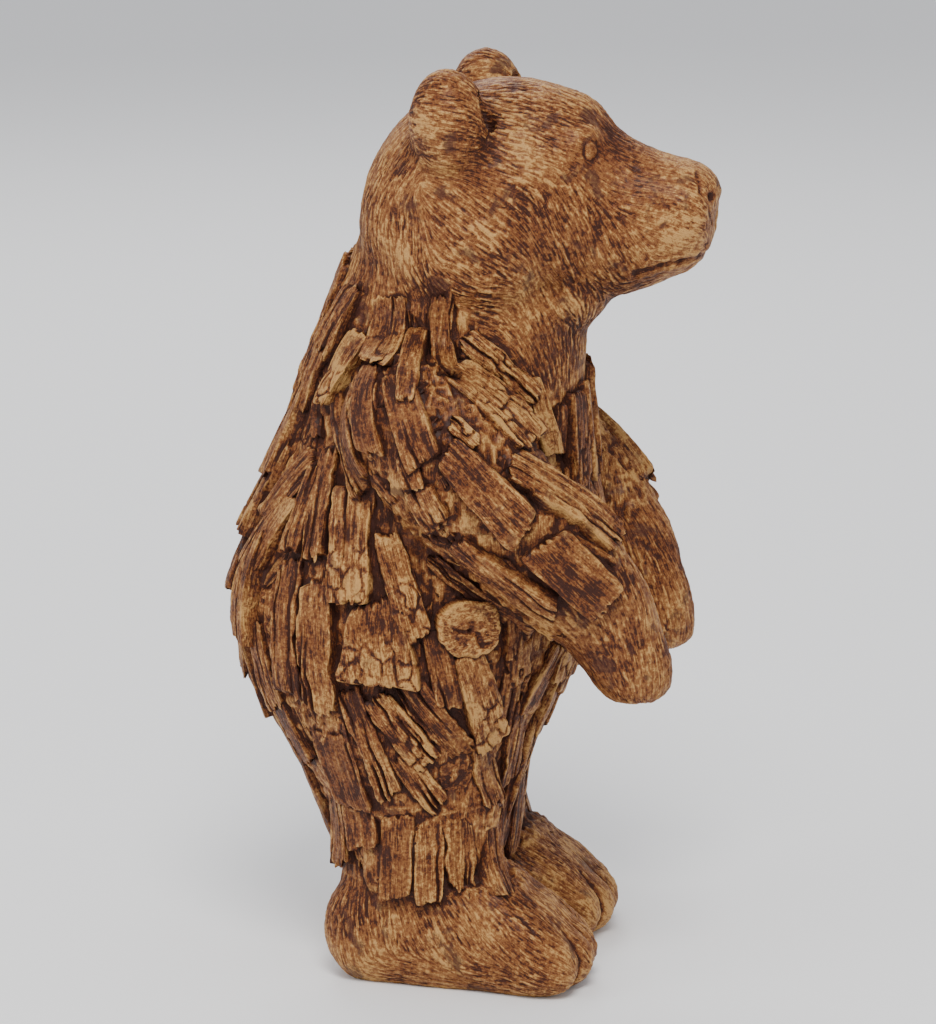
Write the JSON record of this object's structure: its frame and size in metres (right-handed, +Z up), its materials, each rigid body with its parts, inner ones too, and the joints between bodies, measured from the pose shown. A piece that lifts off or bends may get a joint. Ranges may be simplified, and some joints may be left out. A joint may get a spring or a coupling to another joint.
{
  "type": "resin bear statue",
  "caption": "Standing bear ornament cast in resin, with a carved fur head, paws and feet, and a body clad in split driftwood chips.",
  "frame": {"origin": "on the ground under the middle of the statue's box", "axes": "+Z up, the bear faces -Y, its right side is at -X"},
  "size_m": [0.1824, 0.2148, 0.396],
  "materials": {
    "painted_resin": "brown wood-coloured paint with a dark wash in the hollows and cream dry-brushed on the raised edges, matt with a slight sheen"
  },
  "bodies": {
    "root": {"bear_statue": "painted_resin"}
  },
  "joints": []
}
